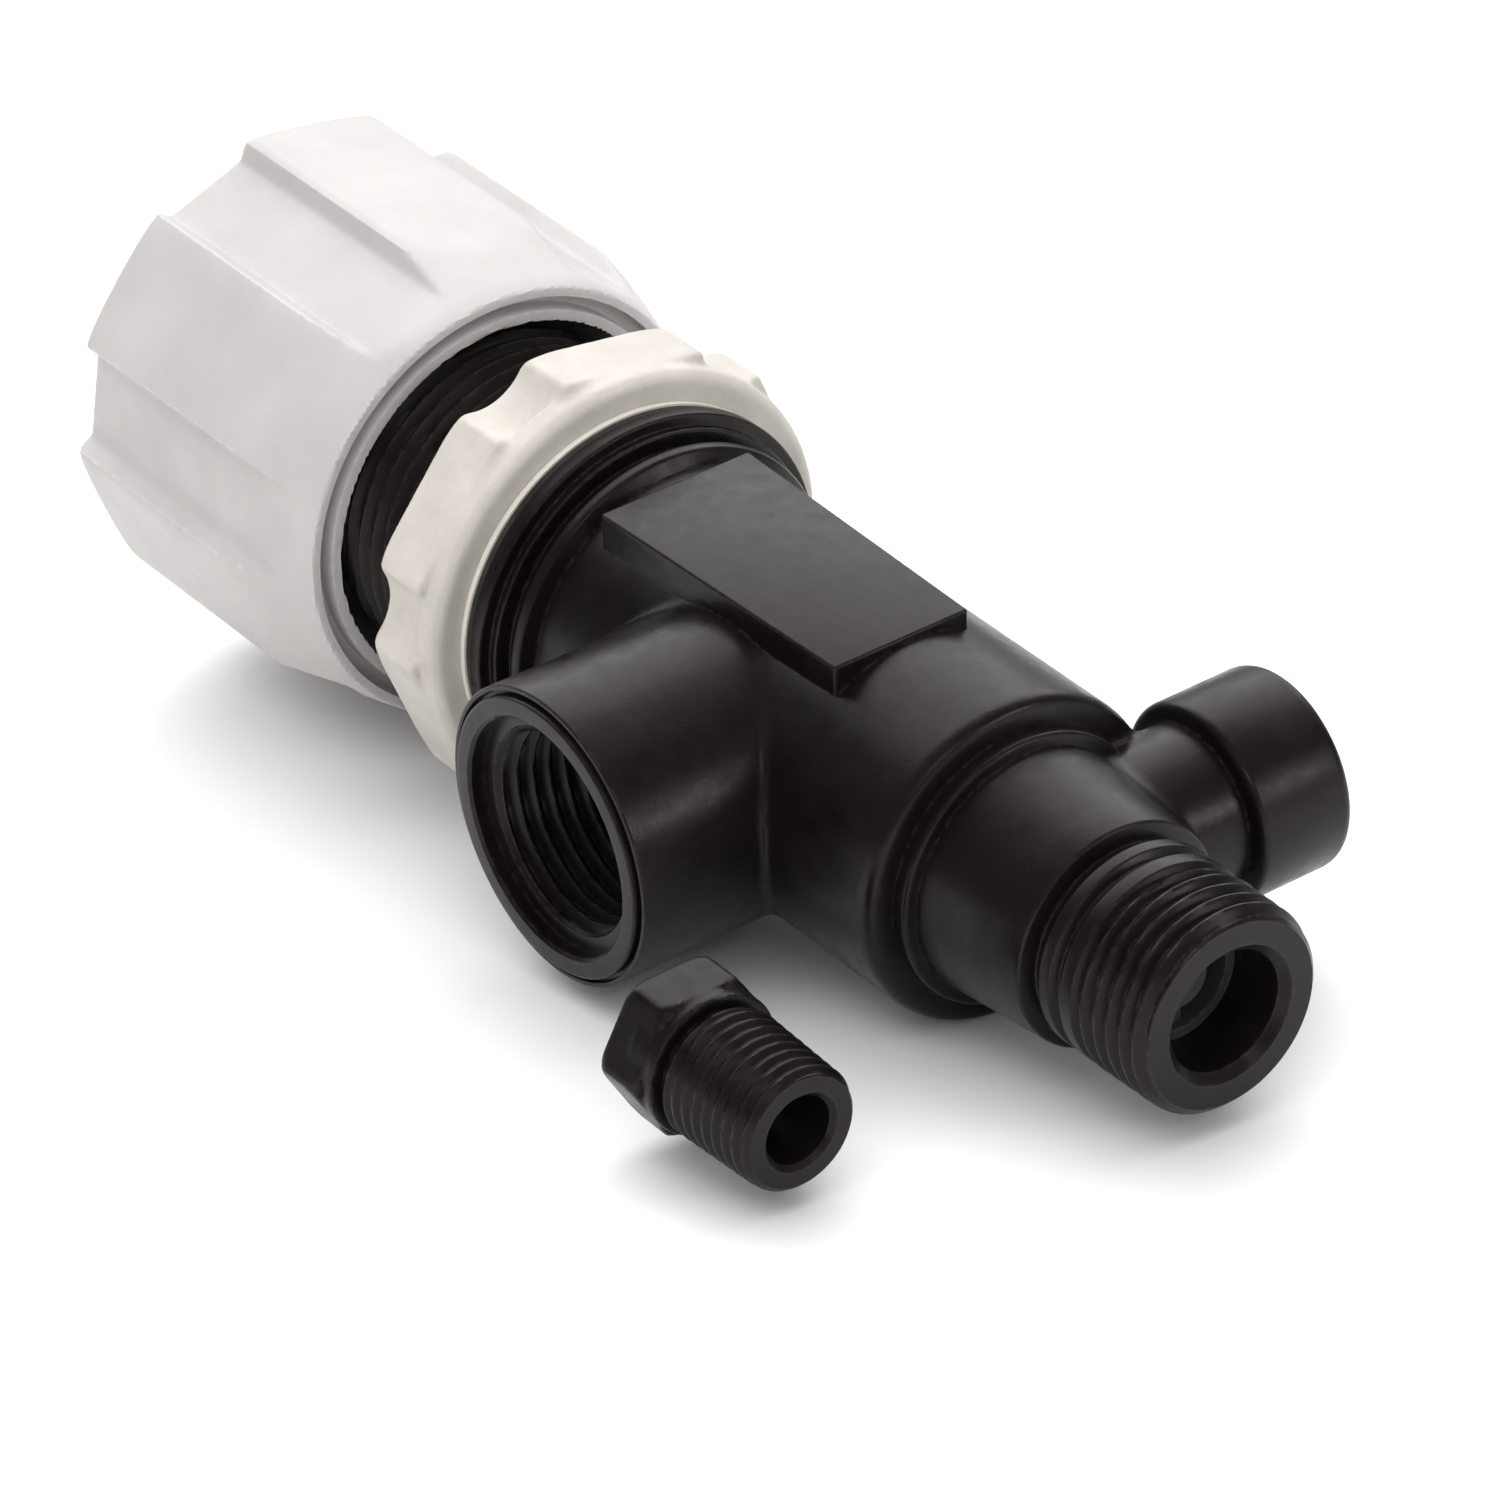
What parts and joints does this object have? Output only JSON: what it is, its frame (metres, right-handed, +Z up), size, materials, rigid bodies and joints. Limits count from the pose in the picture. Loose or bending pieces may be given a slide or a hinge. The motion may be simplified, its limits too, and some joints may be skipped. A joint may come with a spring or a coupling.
{
  "type": "panel-mounted fill valve",
  "caption": "Panel-mounted fill valve with a fluted hand knob, a notched lock nut, a threaded side inlet, a threaded side branch, a male threaded outlet and a loose hex adapter.",
  "frame": {"origin": "centre of the flange's rear face, on the main axis, where the body seats against a panel", "axes": "+Y along the main axis towards the outlet, so the knob is at -Y; +X along the inlet port's axis, out of its mouth; +Z up, towards the label pad"},
  "size_m": [0.0758, 0.1506, 0.0518],
  "materials": {
    "body_plastic": "moulded, satin, dark warm charcoal",
    "adapter_plastic": "moulded, satin, near black",
    "bonnet_plastic": "moulded, satin, dark grey",
    "nut_plastic": "moulded, satin, warm off-white",
    "washer_plastic": "moulded, smooth, warm off-white",
    "knob_plastic": "moulded, satin, pale warm grey",
    "cap_plastic": "moulded, satin, pale warm grey",
    "white_plastic": "machined or moulded acetal, off-white",
    "seal_rubber": "matt black elastomer",
    "brass": "turned",
    "steel": "plain stainless",
    "mesh_steel": "pressed stainless with slots"
  },
  "bodies": {
    "valve": {"valve_body": "body_plastic", "flange_gasket": "seal_rubber", "bonnet": "bonnet_plastic", "bonnet_o_ring": "seal_rubber", "seat_ring": "white_plastic", "seat_ring_o_ring": "seal_rubber", "inlet_strainer": "mesh_steel", "check_spring": "steel", "check_guide": "bonnet_plastic", "adapter_bushing": "adapter_plastic"},
    "knob": {"control_knob": "knob_plastic", "knob_cap": "cap_plastic", "knob_screw": "steel", "knob_screw_washer": "steel", "stem": "brass", "stem_o_rings": "seal_rubber", "stem_thrust_washer": "white_plastic", "stem_clip": "steel"},
    "plunger": {"plunger": "white_plastic", "seat_washer": "seal_rubber", "seat_washer_screw": "brass"},
    "clamp_washer": {"clamp_washer": "washer_plastic"},
    "panel_nut": {"panel_nut": "nut_plastic"},
    "check_poppet": {"check_poppet": "white_plastic", "check_poppet_seal": "seal_rubber"}
  },
  "joints": [
    {"name": "knob_turn", "type": "hinge", "parent": "valve", "child": "knob", "pos_m": [0, -0.03, 0], "axis": [0, -1, 0], "range_deg": [0, 540]},
    {"name": "plunger_slide", "type": "slide", "parent": "valve", "child": "plunger", "axis": [0, -1, 0], "range_m": [0, 0.006]},
    {"name": "nut_travel", "type": "slide", "parent": "valve", "child": "clamp_washer", "axis": [0, -1, 0], "range_m": [0, 0.008]},
    {"name": "nut_turn", "type": "hinge", "parent": "clamp_washer", "child": "panel_nut", "pos_m": [0, -0.006, 0], "axis": [0, -1, 0], "range_deg": [0, 1440]},
    {"name": "check_slide", "type": "slide", "parent": "valve", "child": "check_poppet", "axis": [0, 1, 0], "range_m": [0, 0.0035], "stiffness_N_per_m": 120, "springref_m": -0.004, "deforming": ["check_spring"]}
  ],
  "couplings": [
    {"joint": "plunger_slide", "follows": "knob_turn", "m_per_rad": 0.0006366},
    {"joint": "nut_travel", "follows": "nut_turn", "m_per_rad": 0.0003183}
  ]
}
